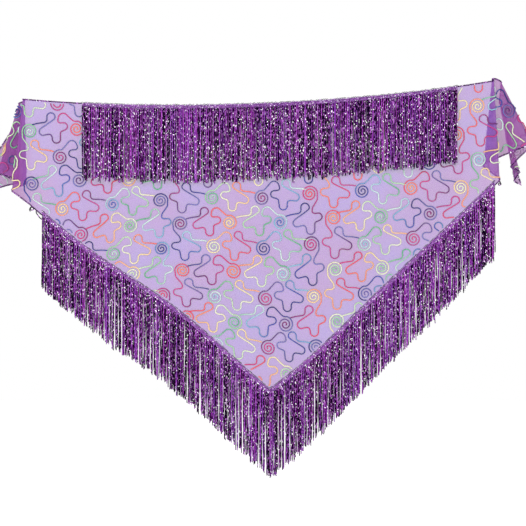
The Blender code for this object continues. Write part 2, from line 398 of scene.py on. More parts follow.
    def flat_of(self, x: Array, z: Array) -> tuple[Array, Array]:
        """The flat points of the panel that are seen from the front at given places.

        Args:
            x: Places across, one for each point.
            z: Their heights.

        Returns:
            Distances along the long edge and below it.
        """
        span = math.hypot(self.grip_span, self.grip_rise)
        share = (x * self.along_chord[0] + z * self.along_chord[2]) / span
        along = self.left_tail + share * (self.right_grip - self.left_tail)
        unlifted = x * self.down_chord[0] + z * self.down_chord[2] - self.sag(share)
        down = unlifted
        for _ in range(self.unlift_rounds):
            down = unlifted + self.hem_lift(share) * (down / self.hem_depth(along)) ** 2
        return along, down


# ---------------------------------------------------------------------------------------------
# Node trees
# ---------------------------------------------------------------------------------------------


class NodeBook:
    """Adds nodes to one tree, with each node's settings and inputs given in the same call."""

    def __init__(self, tree: bpy.types.NodeTree) -> None:
        """Takes the tree that the nodes go into."""
        self.tree = tree

    def add(self, kind: str, inputs: Inputs | None = None, **settings: object) -> bpy.types.Node:
        """Adds one node.

        Args:
            kind: The node's type name.
            inputs: Values or output sockets by the input's name or place.
            settings: Properties of the node itself.

        Returns:
            The node.
        """
        node = self.tree.nodes.new(kind)
        for name, value in settings.items():
            setattr(node, name, value)
        for key, value in (inputs or {}).items():
            if isinstance(value, bpy.types.NodeSocket):
                self.tree.links.new(value, node.inputs[key])
            else:
                node.inputs[key].default_value = value
        return node

    def out(self, kind: str, inputs: Inputs | None = None, **settings: object) -> bpy.types.NodeSocket:
        """Adds one node as add does, and returns its first output."""
        return self.add(kind, inputs, **settings).outputs[0]

    def math(self, operation: str, *values: object) -> bpy.types.NodeSocket:
        """Adds a Math node and returns its output."""
        return self.out("ShaderNodeMath", dict(enumerate(values)), operation=operation)

    def mixed(self, share: object, first: object, second: object) -> bpy.types.NodeSocket:
        """Adds a node that mixes two colours and returns its output."""
        inputs = {"Factor": share, 6: first, 7: second}
        return self.add("ShaderNodeMix", inputs, data_type="RGBA").outputs[2]

    def spread(self, value: object, low: float, high: float) -> bpy.types.NodeSocket:
        """Adds a node that stretches 0 to 1 over low to high and returns its output."""
        return self.out("ShaderNodeMapRange", {"Value": value, "To Min": low, "To Max": high})

    def effect(self, group: bpy.types.NodeTree, inputs: Inputs) -> bpy.types.NodeOutputs:
        """Adds a shared effect to a material and returns its outputs."""
        return self.add("ShaderNodeGroup", inputs, node_tree=group).outputs

    def attribute(self, name: str) -> bpy.types.NodeSocket:
        """Adds a node that reads a number kept on the mesh and returns its output."""
        return self.add("ShaderNodeAttribute", attribute_name=name).outputs["Fac"]


def new_group(
    name: str, kind: str, takes: Mapping[str, str], gives: Mapping[str, str]
) -> NodeBook:
    """Starts a node group with its named sockets.

    Args:
        name: The group's name.
        kind: The type of its tree.
        takes: Socket types by input name.
        gives: Socket types by output name.

    Returns:
        The book that adds the group's nodes.
    """
    tree = bpy.data.node_groups.new(name, kind)
    for in_out, sockets in (("INPUT", takes), ("OUTPUT", gives)):
        for socket, socket_type in sockets.items():
            tree.interface.new_socket(socket, in_out=in_out, socket_type=socket_type)
    return NodeBook(tree)


class SharedEffects:
    """Shader node groups for the threads and the net, each built once.

    Threads whose marks differ by a little are MARK_SPREAD times as far apart in the noise.
    """

    KIND = "ShaderNodeTree"
    MARK_SPREAD = 911.0
    DRIFTS_PER_METRE = 95.0
    PAINTED_GLINT_EDGE = 0.5

    def __init__(self) -> None:
        """Builds the three groups."""
        self.twist = self.build_twist()
        self.painted_glints = self.build_painted_glints()
        self.net = self.build_net()

    def build_twist(self) -> bpy.types.NodeTree:
        """Ridges across a twisted thread, one for each pitch of its run.

        Returns:
            The group's tree.
        """
        takes = {"Run": FLOAT, "Pitch": FLOAT, "Mark": FLOAT}
        book = new_group("thread_twist", self.KIND, takes, {"Height": FLOAT})
        given = book.add("NodeGroupInput").outputs
        turns = book.math("DIVIDE", given["Run"], given["Pitch"])
        phase = book.math("ADD", turns, given["Mark"])
        wave = book.math("SINE", book.math("MULTIPLY", phase, math.tau))
        half = 0.5
        book.add("NodeGroupOutput", {"Height": book.math("MULTIPLY_ADD", wave, half, half)})
        return book.tree

    def build_painted_glints(self) -> bpy.types.NodeTree:
        """Painted glints along a thread: bright flecks that stand in for the foil's highlights. Also
        the drift of its tone, and its own hue.

        Returns:
            The group's tree.
        """
        takes = {"Run": FLOAT, "Mark": FLOAT, "Length": FLOAT, "Share": FLOAT}
        gives = {"Painted Glint": FLOAT, "Tone": FLOAT, "Hue": FLOAT}
        book = new_group("foil_painted_glints", self.KIND, takes, gives)
        given = book.add("NodeGroupInput").outputs
        cell = book.math("FLOOR", book.math("DIVIDE", given["Run"], given["Length"]))
        far_mark = book.math("MULTIPLY", given["Mark"], self.MARK_SPREAD)
        spot = book.out("ShaderNodeCombineXYZ", {"X": cell, "Y": far_mark})
        chance = book.add("ShaderNodeTexWhiteNoise", {"Vector": spot}, noise_dimensions="2D")
        # Painted glint: a cell lights up where its chance falls below the share, and is brighter the
        # further below it falls.
        margin = book.math("SUBTRACT", given["Share"], chance.outputs["Value"])
        brightness = {0: margin, 1: book.math("MULTIPLY", given["Share"], self.PAINTED_GLINT_EDGE)}
        painted_glint = book.out("ShaderNodeMath", brightness, operation="DIVIDE", use_clamp=True)
        drift = book.math("MULTIPLY", given["Run"], self.DRIFTS_PER_METRE)
        place = book.out("ShaderNodeCombineXYZ", {"X": drift, "Y": far_mark})
        noise = {"Vector": place, "Scale": 1.0, "Detail": 2.0}
        tone = book.out("ShaderNodeTexNoise", noise, noise_dimensions="2D")
        hue = book.add("ShaderNodeTexWhiteNoise", {"W": given["Mark"]}, noise_dimensions="1D")
        outputs = {"Painted Glint": painted_glint, "Tone": tone, "Hue": hue.outputs["Value"]}
        book.add("NodeGroupOutput", outputs)
        return book.tree

    def build_net(self) -> bpy.types.NodeTree:
        """The net's mesh: two slanted sets of yarns with open cells between them.

        Returns:
            The group's tree.
        """
        takes = {"Flat": VECTOR, "Pitch": FLOAT, "Yarn": FLOAT}
        book = new_group("net_mesh", self.KIND, takes, {"Yarns": FLOAT})
        given = book.add("NodeGroupInput").outputs
        place = book.add("ShaderNodeSeparateXYZ", {0: given["Flat"]}).outputs
        half = 0.5
        yarns = []
        for operation in ("ADD", "SUBTRACT"):
            slanted = book.math(operation, place["X"], place["Y"])
            cells = book.math("DIVIDE", slanted, given["Pitch"])
            middle = book.math("ABSOLUTE", book.math("SUBTRACT", book.math("FRACT", cells), half))
            from_yarn = book.math("SUBTRACT", half, middle)
            reach = book.math("DIVIDE", from_yarn, given["Yarn"])
            yarns.append(book.math("SUBTRACT", 1.0, book.math("MINIMUM", reach, 1.0)))
        book.add("NodeGroupOutput", {"Yarns": book.math("MAXIMUM", *yarns)})
        return book.tree


# ---------------------------------------------------------------------------------------------
# Finishes
# ---------------------------------------------------------------------------------------------


def rgba(color: Color) -> tuple[float, float, float, float]:
    """A colour with full opacity."""
    return (*color, 1.0)


class Finish:
    """A material with one Principled BSDF, drawn through a NodeBook."""

    def __init__(self, name: str, **constants: float) -> None:
        """Starts the material.

        Args:
            name: The material's name.
            constants: Shader inputs that are the same all over, spaces written as underscores.
        """
        self.material = bpy.data.materials.new(name)
        self.material.use_nodes = True
        self.book = NodeBook(self.material.node_tree)
        self.shader = self.material.node_tree.nodes["Principled BSDF"]
        for socket, value in constants.items():
            self.shader.inputs[socket.replace("_", " ")].default_value = value

    def drive(self, socket: str, source: bpy.types.NodeSocket) -> None:
        """Links a varying value or colour to one of the shader's inputs."""
        self.material.node_tree.links.new(source, self.shader.inputs[socket])

    def raise_relief(self, height: bpy.types.NodeSocket, strength: float, distance: float) -> None:
        """Turns a height into the shader's normal through a Bump node."""
        inputs = {"Height": height, "Strength": strength, "Distance": distance}
        self.drive("Normal", self.book.out("ShaderNodeBump", inputs))


@dataclass(frozen=True)
class NetFinish:
    """Sheer purple net whose open cells show what lies behind.

    Its two ends, beyond the grips, are drawn together, so they are denser. They are also painted darker
    and warmer, as painted shade of the folded tails.
    """

    color: Color = (0.205, 0.085, 0.500)
    warm_color: Color = (0.270, 0.050, 0.380)
    cell_opacity: float = 0.53
    yarn_opacity: float = 0.78
    pitch: float = 0.0016
    yarn: float = 0.30
    cloud_scale: float = 6.0
    coolest: float = -0.6
    warmest: float = 1.6
    relief: float = 0.12
    relief_height: float = 0.0003
    middle: float = 0.965
    ends_from: float = 0.600
    ends_to: float = 0.640
    # The ends' colour is painted shade: darker and warmer than the panel.
    end_painted_shade_color: Color = (0.260, 0.040, 0.300)
    end_density: float = 0.09

    def build(self, effects: SharedEffects) -> bpy.types.Material:
        """Makes the material.

        Args:
            effects: The shared node groups.

        Returns:
            The material.
        """
        finish = Finish("sheer_net", Roughness=0.42, Sheen_Weight=0.25, Sheen_Roughness=0.4)
        book = finish.book
        flat = book.out("ShaderNodeUVMap", uv_map=FLAT_UV)
        inputs = {"Flat": flat, "Pitch": self.pitch, "Yarn": self.yarn}
        mask = book.effect(effects.net, inputs)["Yarns"]
        clouds = book.out("ShaderNodeTexNoise", {"Vector": flat, "Scale": self.cloud_scale})
        warmth = book.spread(clouds, self.coolest, self.warmest)
        color = book.mixed(warmth, rgba(self.color), rgba(self.warm_color))
        along = book.out("ShaderNodeSeparateXYZ", {0: flat})
        from_middle = book.math("ABSOLUTE", book.math("SUBTRACT", along, self.middle))
        inputs = {"Value": from_middle, "From Min": self.ends_from, "From Max": self.ends_to}
        ends = book.out("ShaderNodeMapRange", inputs)
        opacity = book.spread(mask, self.cell_opacity, self.yarn_opacity)
        # Painted shade: the colour turns darker and warmer towards the ends. The added opacity is the
        # gathered cloth's.
        finish.drive("Base Color", book.mixed(ends, color, rgba(self.end_painted_shade_color)))
        finish.drive("Alpha", book.math("MULTIPLY_ADD", ends, self.end_density, opacity))
        finish.raise_relief(mask, self.relief, self.relief_height)
        return finish.material


@dataclass(frozen=True)
class EmbroideryFinish:
    """Shiny embroidery thread, space dyed through a round of light and dark colours."""

    name: str
    dye_round: float = 1.30
    pitch: float = 0.0022
    # How far the base colour is darkened in the twist's grooves, as painted shade.
    groove_painted_shade: float = 0.80
    relief: float = 0.5
    relief_height: float = 0.0004
    colors: tuple[Color, ...] = (
        (0.62, 0.03, 0.19),
        (0.86, 0.10, 0.12),
        (0.92, 0.30, 0.16),
        (0.92, 0.72, 0.34),
        (0.80, 0.84, 0.62),
        (0.36, 0.66, 0.36),
        (0.10, 0.42, 0.22),
        (0.66, 0.82, 0.76),
        (0.22, 0.48, 0.66),
        (0.055, 0.075, 0.42),
        (0.015, 0.008, 0.16),
        (0.18, 0.17, 0.50),
        (0.12, 0.01, 0.15),
        (0.56, 0.04, 0.27),
    )

    def build(self, effects: SharedEffects) -> bpy.types.Material:
        """Makes the material.

        Args:
            effects: The shared node groups.

        Returns:
            The material.
        """
        finish = Finish(self.name, Roughness=0.32, Sheen_Weight=0.05, Specular_IOR_Level=0.30)
        book = finish.book
        run = book.attribute(RUN)
        mark = book.attribute(MARK)
        dyed = book.math("FRACT", book.math("ADD", book.math("DIVIDE", run, self.dye_round), mark))
        ramp = book.add("ShaderNodeValToRGB", {"Fac": dyed})
        self.fill(ramp.color_ramp)
        height = book.effect(effects.twist, {"Run": run, "Pitch": self.pitch})["Height"]
        # Painted shade: the dye is darkened in the grooves of the twist.
        inputs = {0: ramp.outputs[0], "Scale": book.spread(height, self.groove_painted_shade, 1.0)}
        finish.drive("Base Color", book.out("ShaderNodeVectorMath", inputs, operation="SCALE"))
        finish.raise_relief(height, self.relief, self.relief_height)
        return finish.material

    def fill(self, ramp: bpy.types.ColorRamp) -> None:
        """Puts the dyes round the ramp, and the first one again at its end.

        Args:
            ramp: The ramp, with its two first stops.
        """
        stops = [*self.colors, self.colors[0]]
        ramp.elements[0].color = rgba(stops[0])
        ramp.elements[1].color = rgba(stops[-1])
        for place, color in enumerate(stops[1:-1], 1):
            ramp.elements.new(place / len(self.colors)).color = rgba(color)


@dataclass(frozen=True)
class FoilThreadFinish:
    """Purple thread with a metallic foil in its twist. Its flashes are painted highlights: short white
    flecks that glow a little, and lavender dashes.

    The tone runs from dark to light. It drifts along each thread, and a thread's mark from 0 to 1
    says how light it is among its neighbours.
    """

    name: str
    dark: Color = (0.006, 0.001, 0.014)
    light: Color = (0.345, 0.034, 0.390)
    cool_light: Color = (0.225, 0.048, 0.430)
    # Painted glints: the colour, length, share and glow of short bright flecks that stand in for the
    # foil's highlights.
    painted_glint: Color = (1.0, 0.97, 1.0)
    painted_glint_length: float = 0.0024
    painted_glint_share: float = 0.040
    painted_glint_glow: float = 0.45
    # Painted highlights: lavender dashes along the thread that stand in for light on its twisted foil.
    highlight_dash: Color = (0.60, 0.20, 0.74)
    highlight_dash_length: float = 0.0045
    highlight_dash_share: float = 0.20
    highlight_dash_strength: float = 0.75
    sheen_tint: Color = (0.75, 0.42, 0.90)
    roughness: float = 0.42
    painted_glint_roughness: float = 0.25
    pitch: float = 0.0018
    relief: float = 0.4
    relief_height: float = 0.0003
    metallic: float = 0.35
    drift_contrast: float = 3.0
    mark_contrast: float = 3.4
    lowest_tone: float = -3.54

    def build(self, effects: SharedEffects) -> bpy.types.Material:
        """Makes the material.

        Args:
            effects: The shared node groups.

        Returns:
            The material.
        """
        constants = {"Metallic": self.metallic, "Specular_IOR_Level": 0.0}
        # The emission makes the painted glints glow a little, as painted highlights of the foil.
        finish = Finish(self.name, Emission_Strength=self.painted_glint_glow, **constants)
        finish.shader.inputs["Specular Tint"].default_value = rgba(self.sheen_tint)
        book = finish.book
        run = book.attribute(RUN)
        mark = book.attribute(MARK)
        # Painted glints along the thread, with its tone drift and hue.
        inputs = {"Run": run, "Mark": mark, "Length": self.painted_glint_length, "Share": self.painted_glint_share}
        foil = book.effect(effects.painted_glints, inputs)
        tone = book.math("MULTIPLY_ADD", mark, self.mark_contrast, self.lowest_tone)
        tone = book.math("MULTIPLY_ADD", foil["Tone"], self.drift_contrast, tone)
        light = book.mixed(foil["Hue"], rgba(self.light), rgba(self.cool_light))
        body = book.mixed(tone, rgba(self.dark), light)
        # Painted highlights: lavender dashes mixed into the body colour.
        inputs = {"Run": run, "Mark": mark, "Length": self.highlight_dash_length, "Share": self.highlight_dash_share}
        highlight_dash = book.effect(effects.painted_glints, inputs)["Painted Glint"]
        highlight_dash = book.math("MULTIPLY", highlight_dash, self.highlight_dash_strength)
        body = book.mixed(highlight_dash, body, rgba(self.highlight_dash))
        # The flecks are painted glints: a white base colour and a little emission.
        painted_glint = foil["Painted Glint"]
        finish.drive("Base Color", book.mixed(painted_glint, body, rgba(self.painted_glint)))
        finish.drive("Emission Color", book.mixed(painted_glint, rgba(BLACK), rgba(self.painted_glint)))
        finish.drive("Roughness", book.spread(painted_glint, self.roughness, self.painted_glint_roughness))
        inputs = {"Run": run, "Mark": mark, "Pitch": self.pitch}
        height = book.effect(effects.twist, inputs)["Height"]
        finish.raise_relief(height, self.relief, self.relief_height)
        return finish.material


@dataclass(frozen=True)
class StageFinish:
    """The pale studio floor."""

    color: Color = (0.93, 0.93, 0.93)
    light_color: Color = (0.95, 0.95, 0.95)
    cloud_scale: float = 3.0
    glow: float = 0.80

    def build(self) -> bpy.types.Material:
        """Makes the material.

        Returns:
            The material.
        """
        finish = Finish("studio_floor", Roughness=0.9, Emission_Strength=self.glow)
        book = finish.book
        place = book.add("ShaderNodeTexCoord").outputs["Object"]
        clouds = book.out("ShaderNodeTexNoise", {"Vector": place, "Scale": self.cloud_scale})
        finish.drive("Base Color", book.mixed(clouds, rgba(self.color), rgba(self.light_color)))
        finish.shader.inputs["Emission Color"].default_value = rgba(self.color)
        return finish.material


# ---------------------------------------------------------------------------------------------
# Threads and the trees that sweep them
# ---------------------------------------------------------------------------------------------


@dataclass
class ThreadSet:
    """Centre lines that one piece's threads are swept along."""

    points: list[Array] = field(default_factory=list)
    runs: list[Array] = field(default_factory=list)
    marks: list[Array] = field(default_factory=list)
    girths: list[Array] = field(default_factory=list)

    def add(self, points: Array, run: Array, mark: float, girth: Array | float = 1.0) -> None:
        """Adds one thread.

        Args:
            points: Its centre line, one point a row.
            run: Metres along the thread at each point.
            mark: A number from 0 to 1 that tells it from its neighbours.
            girth: Share of the piece's thread radius, at each point or all along.
        """
        count = len(points)
        self.points.append(points)
        self.runs.append(run)
        self.marks.append(np.full(count, mark))
        self.girths.append(np.broadcast_to(girth, count))

    def mesh(self, name: str) -> bpy.types.Mesh:
        """The centre lines as a mesh of edges, with the numbers kept on its points.

        Args:
            name: The mesh's name.

        Returns:
            The mesh.
        """
        counts = [len(points) for points in self.points]
        total = sum(counts)
        starts = np.cumsum([0, *counts[:-1]])
        last = np.zeros(total, bool)
        last[starts + np.array(counts) - 1] = True
        first_ends = np.flatnonzero(~last)
        mesh = bpy.data.meshes.new(name)
        mesh.vertices.add(total)
        mesh.vertices.foreach_set("co", np.concatenate(self.points).astype(np.float32).ravel())
        mesh.edges.add(len(first_ends))
        ends = np.stack((first_ends, first_ends + 1), axis=1).astype(np.int32)
        mesh.edges.foreach_set("vertices", ends.ravel())
        for kept, values in ((RUN, self.runs), (MARK, self.marks), (GIRTH, self.girths)):
            layer = mesh.attributes.new(kept, "FLOAT", "POINT")
            layer.data.foreach_set("value", np.concatenate(values).astype(np.float32))
        mesh.update()
        return mesh


def arc_length(points: Array) -> Array:
    """Metres along a line at each of its points."""
    return np.concatenate(((0,), np.cumsum(np.linalg.norm(np.diff(points, axis=0), axis=1))))


def round_sweep(
    book: NodeBook, curve: bpy.types.NodeSocket, given: bpy.types.NodeOutputs
) -> bpy.types.NodeSocket:
    """Adds the nodes that sweep a round section along a curve.

    Args:
        book: The tree's nodes.
        curve: The curve.
        given: The tree's inputs, with the section's Radius and Sides.

    Returns:
        The swept mesh.
    """
    inputs = {"Resolution": given["Sides"], "Radius": given["Radius"]}
    section = book.out("GeometryNodeCurvePrimitiveCircle", inputs, mode="RADIUS")
    inputs = {"Curve": curve, "Profile Curve": section, "Fill Caps": True}
    return book.out("GeometryNodeCurveToMesh", inputs)


class SweptThreads:
    """A Geometry Nodes tree that sweeps a round thread along every centre line."""

    def __init__(self) -> None:
        """Builds the tree."""
        takes = {"Lines": GEOMETRY, "Radius": FLOAT, "Sides": INTEGER, "Finish": MATERIAL}
        book = new_group("swept_threads", "GeometryNodeTree", takes, {"Threads": GEOMETRY})
        self.tree = book.tree
        given = book.add("NodeGroupInput").outputs
        curve = book.out("GeometryNodeMeshToCurve", {"Mesh": given["Lines"]})
        girth = book.add("GeometryNodeInputNamedAttribute", {"Name": GIRTH}, data_type="FLOAT")
        inputs = {"Curve": curve, "Radius": girth.outputs["Attribute"]}
        curve = book.out("GeometryNodeSetCurveRadius", inputs)
        swept = round_sweep(book, curve, given)
        smooth = book.out("GeometryNodeSetShadeSmooth", {"Geometry": swept})
        real = book.out("GeometryNodeRealizeInstances", {0: smooth})
        inputs = {"Geometry": real, "Material": given["Finish"]}
        book.add("NodeGroupOutput", {0: book.out("GeometryNodeSetMaterial", inputs)})

    def sweep(
        self, name: str, threads: ThreadSet, radius: float, sides: int, finish: bpy.types.Material
    ) -> bpy.types.Object:
        """Sweeps a set of threads and keeps the result as a plain mesh.

        Args:
            name: The finished piece's name.
            threads: The centre lines.
            radius: Radius of a thread whose girth is 1.
            sides: Sides of a thread's section.
            finish: Its material.

        Returns:
            The finished piece.
        """
        values = {"Radius": radius, "Sides": sides, "Finish": finish}
        return realized(name, threads.mesh(name + "_lines"), self.tree, values)


class PicotRow:
    """A Geometry Nodes tree that stands small thread loops side by side along a line.

    From its middle to a foot, a loop of full size measures HALF_WIDTH of the pitch. Loops are
    between SMALLEST and LARGEST of full size.
    """

    HALF_WIDTH = 0.42
    SMALLEST = 0.7
    LARGEST = 1.25

    def __init__(self) -> None:
        """Builds the tree."""
        takes = {
            "Line": GEOMETRY,
            **dict.fromkeys(("Pitch", "Height", "Radius"), FLOAT),
            **dict.fromkeys(("Loop Points", "Sides", "Seed"), INTEGER),
            "Finish": MATERIAL,
        }
        book = new_group("picot_row", "GeometryNodeTree", takes, {"Loops": GEOMETRY})
        self.tree = book.tree
        given = book.add("NodeGroupInput").outputs
        curve = book.out("GeometryNodeMeshToCurve", {"Mesh": given["Line"]})
        inputs = {"Curve": curve, "Length": given["Pitch"]}
        stands = book.out("GeometryNodeResampleCurve", inputs, mode="LENGTH")
        tangent = book.out("GeometryNodeInputTangent")
        along = book.out("FunctionNodeAlignRotationToVector", {"Vector": tangent}, axis="X")
        inputs = {"Min": self.SMALLEST, "Max": self.LARGEST, "Seed": given["Seed"]}
        size = book.add("FunctionNodeRandomValue", inputs, data_type="FLOAT").outputs[1]
        inputs = {
            "Points": stands,
            "Instance": self.loop(book, given),
            "Rotation": along,
            "Scale": size,
        }
        loops = book.out("GeometryNodeInstanceOnPoints", inputs)
        real = book.out("GeometryNodeRealizeInstances", {0: loops})
        smooth = book.out("GeometryNodeSetShadeSmooth", {"Geometry": real})
        inputs = {"Geometry": smooth, "Material": given["Finish"]}
        book.add("NodeGroupOutput", {0: book.out("GeometryNodeSetMaterial", inputs)})

    def loop(self, book: NodeBook, given: bpy.types.NodeOutputs) -> bpy.types.NodeSocket:
        """Adds the nodes of one loop, a half round that stands up on its two feet.

        Args:
            book: The tree's nodes.
            given: The tree's inputs.

        Returns:
            The loop's mesh.
        """
        half_turn = {"Resolution": given["Loop Points"], "Radius": 1.0, "Sweep Angle": math.pi}
        arc = book.out("GeometryNodeCurveArc", half_turn, mode="RADIUS")
        half_width = book.math("MULTIPLY", given["Pitch"], self.HALF_WIDTH)
        inputs = {"X": half_width, "Y": given["Height"], "Z": 1.0}
        stretch = book.out("ShaderNodeCombineXYZ", inputs)
        arc = book.out("GeometryNodeTransform", {"Geometry": arc, "Scale": stretch})
        upright = (math.pi / 2, 0.0, 0.0)
        arc = book.out("GeometryNodeTransform", {"Geometry": arc, "Rotation": upright})
        return round_sweep(book, arc, given)


def linked(name: str, data: bpy.types.ID) -> bpy.types.Object:
    """Makes an object and links it to the scene.

    Args:
        name: The object's name.
        data: Its mesh, light or camera.

    Returns:
        The object.
    """
    made = bpy.data.objects.new(name, data)
    bpy.context.scene.collection.objects.link(made)
    return made


def realized(
    name: str, lines: bpy.types.Mesh, tree: bpy.types.NodeTree, values: Inputs
) -> bpy.types.Object:
    """Runs a Geometry Nodes tree on a mesh of lines and keeps the result as a plain mesh.

    Args:
        name: The finished piece's name.
        lines: The mesh that the tree works on.
        tree: The Geometry Nodes tree.
        values: The tree's inputs by name.

    Returns:
        The finished piece, linked to the scene.
    """
    source = linked(lines.name, lines)
    modifier = source.modifiers.new("tree", "NODES")
    modifier.node_group = tree
    sockets = {item.name: item.identifier for item in tree.interface.items_tree}
    for socket, value in values.items():
        modifier[sockets[socket]] = value
    evaluated = source.evaluated_get(bpy.context.evaluated_depsgraph_get())
    mesh = bpy.data.meshes.new_from_object(evaluated)
    mesh.name = name
    bpy.data.objects.remove(source)
    return linked(name, mesh)


def settle(
    piece: bpy.types.Object, stands_for: Sequence[str] = ()
) -> bpy.types.Object:
    """Hangs a finished piece on the body, and reports it.

    Args:
        piece: The finished piece.
        stands_for: CAD nodes that it replaces.

    Returns:
        The same piece.
    """
    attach(piece, BODY)
    if stands_for:
        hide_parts(*stands_for)
    LOG.info("%s: %d faces", piece.name, len(piece.data.polygons))
    return piece


# ---------------------------------------------------------------------------------------------
# The net
# ---------------------------------------------------------------------------------------------


@dataclass(frozen=True)
class NetSheet:
    """The net itself, as one open sheet on the middle of the solid's wall."""

    cloth: HungCloth
    column_step: float = 0.0055
    rows: int = 104
    turn_step: float = math.radians(13)
    edge_step: float = 0.0065
    arc_step: float = math.radians(1.25)

    def flat_grid(self) -> tuple[Array, Array]:
        """Flat points of the grid, a column at a time from the left corner to the right one.

        Returns:
            Distances along the long edge and below it, both columns by rows.
        """
        shares = np.linspace(0, 1, self.rows)
        cloth = self.cloth
        count = math.ceil((cloth.right_grip - cloth.left_tail) / self.column_step)
        along = np.linspace(cloth.left_tail, cloth.right_grip, count + 1)[:, None]
        middle = np.broadcast_to(along, (count + 1, self.rows)), cloth.hem_depth(along) * shares
        left_beyond, left_down = self.tail_grid(cloth.left, shares)
        right_beyond, right_down = self.tail_grid(cloth.right, shares)
        along = np.concatenate(
            (cloth.left_tail - left_beyond[::-1], middle[0], cloth.right_grip + right_beyond)
        )
        return along, np.concatenate((left_down[::-1], middle[1], right_down))

    def tail_grid(self, tail: Tail, shares: Array) -> tuple[Array, Array]:
        """Flat points along a tail's rays.

        Args:
            tail: The tail.
            shares: Shares of the way from the long edge to the lower edge.

        Returns:
            Distances beyond the grip and below the long edge, both rays by rows.
        """
        slope = self.cloth.hem_slope
        ray = tail.rays(self.turn_step, self.edge_step, self.arc_step)[:, None]
        near = tail.pinch_height / np.cos(ray)
        far = (tail.pinch_height + slope * tail.length) / (np.cos(ray) + slope * np.sin(ray))
        distance = near + (far - near) * shares
        return distance * np.sin(ray), distance * np.cos(ray) - tail.pinch_height

    def build(self, finish: bpy.types.Material) -> bpy.types.Object:
        """Makes the sheet, with its flat place in metres as its UV map.

        Args:
            finish: The net's material.

        Returns:
            The piece.
        """
        along, down = self.flat_grid()
        columns, rows = along.shape
        hung = self.cloth.hang(along.ravel(), down.ravel())
        column, row = np.meshgrid(np.arange(columns - 1), np.arange(rows - 1), indexing="ij")
        first = (column * rows + row).ravel()
        faces = np.stack((first, first + 1, first + rows + 1, first + rows), axis=1)
        mesh = bpy.data.meshes.new("net_sheet")
        mesh.from_pydata(hung.tolist(), [], faces.tolist())
        flat = np.stack((along.ravel(), down.ravel()), axis=1)[faces.ravel()]
        mesh.uv_layers.new(name=FLAT_UV).data.foreach_set("uv", flat.astype(np.float32).ravel())
        mesh.shade_smooth()
        mesh.materials.append(finish)
        return settle(linked("net_sheet", mesh), ("net_panel",))


# ---------------------------------------------------------------------------------------------
# The embroidery
# ---------------------------------------------------------------------------------------------


@dataclass(frozen=True)
class ThreadArc:
    """A round stretch of the embroidered line, in millimetres and degrees.

    Angles run anticlockwise on the face from its right, so a negative sweep runs clockwise.
    """

    x: float
    y: float
    radius: float
    start: float
    sweep: float
    end_radius: float | None = None

    def points(self, step: float = 24.0) -> Array:
        """Points along the arc.

        Args:
            step: The most that two points stand apart, in degrees.

        Returns:
            One point a row, in millimetres.
        """
        count = max(2, math.ceil(abs(self.sweep) / step) + 1)
        angles = np.radians(self.start + np.linspace(0, self.sweep, count))
        last = self.radius if self.end_radius is None else self.end_radius
        radii = np.linspace(self.radius, last, count)
        return np.stack((self.x + radii * np.cos(angles), self.y + radii * np.sin(angles)), axis=1)


@dataclass(frozen=True)
class Motif:
    """One repeat: from a spiral's rim through a lobed squiggle and an arch into the next spiral.

    Where a row turns, the squiggle runs up into the spiral that stands above it instead.
    """

    pitch: float = 0.128
    lead: tuple[tuple[float, float], ...] = ((15.0, 14.0), (28.0, 17.0))
    arcs: tuple[ThreadArc, ...] = (
        ThreadArc(45.5, 27.5, 8.5, -90, 70),
        ThreadArc(64.5, 32.5, 10.5, 195, -215),
        ThreadArc(42.0, -4.0, 9.5, 130, 165),
        ThreadArc(57.0, -18.0, 7.0, 110, -80),
        ThreadArc(75.0, -23.5, 10.5, 165, 205),
        ThreadArc(92.5, -10.5, 6.5, 195, -90),
        ThreadArc(96.5, 7.5, 9.0, -65, 165),
        ThreadArc(87.5, 22.5, 6.0, 265, -85),
    )
    arch: ThreadArc = ThreadArc(96.0, 27.5, 13.0, 170, -105)
    approach: tuple[float, float] = (112.0, 29.0)
    spiral: ThreadArc = ThreadArc(128.0, 0.0, 20.0, 104, -890, 2.2)
    climb: tuple[tuple[float, float], ...] = ((83.0, 30.0), (90.0, 40.5), (96.5, 51.0))
    upper_spiral: ThreadArc = ThreadArc(78.0, 65.4, 20.0, -20, 946, 2.2)
    spiral_step: float = 30.0

    def line(self, step: float, turns: bool) -> Array:
        """The repeat's line in metres from the spiral's middle.

        Args:
            step: Distance between its points.
            turns: Whether it ends in the spiral above instead of the next one of its own row.

        Returns:
            One (right, up) point a row.
        """
        nodes = [np.array(self.lead), *(arc.points() for arc in self.arcs)]
        if turns:
            nodes += [np.array(self.climb), self.upper_spiral.points(self.spiral_step)]
        else:
            nodes += [self.arch.points(), np.array((self.approach,))]
            nodes += [self.spiral.points(self.spiral_step)]
        return resampled(smooth_through(np.concatenate(nodes) * MILLIMETRE), step)


